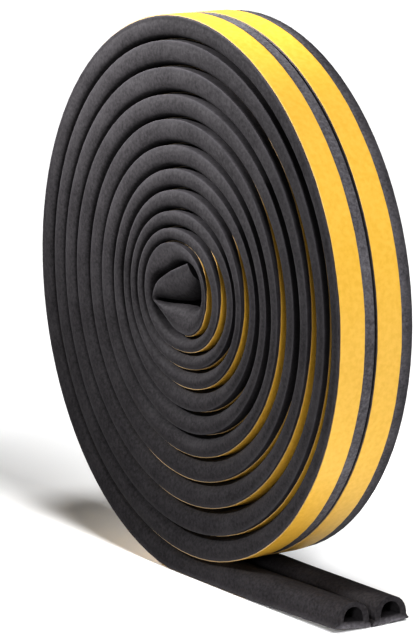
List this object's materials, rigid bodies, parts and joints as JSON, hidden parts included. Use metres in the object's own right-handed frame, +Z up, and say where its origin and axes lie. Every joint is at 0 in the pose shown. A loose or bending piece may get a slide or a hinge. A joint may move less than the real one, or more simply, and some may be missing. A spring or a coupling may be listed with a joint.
{
  "type": "rubber door weatherstrip",
  "caption": "Coil of self-adhesive twin D-profile sponge-rubber seal standing on its rim, with its free end flat on the floor and release liners on its adhesive side.",
  "frame": {"origin": "on the floor, below the middle of the object's box in X and Y", "axes": "+X along the free end, towards its cut; +Y along the coil's axis, away from the end face seen in the picture; +Z up"},
  "size_m": [0.1214, 0.0186, 0.1234],
  "materials": {
    "sponge_rubber": "matte closed-cell sponge rubber, charcoal",
    "release_paper": "silicone-coated release paper, yellow"
  },
  "bodies": {
    "root": {"rubber_strip": "sponge_rubber", "release_liner_front": "release_paper", "release_liner_back": "release_paper"}
  },
  "joints": []
}
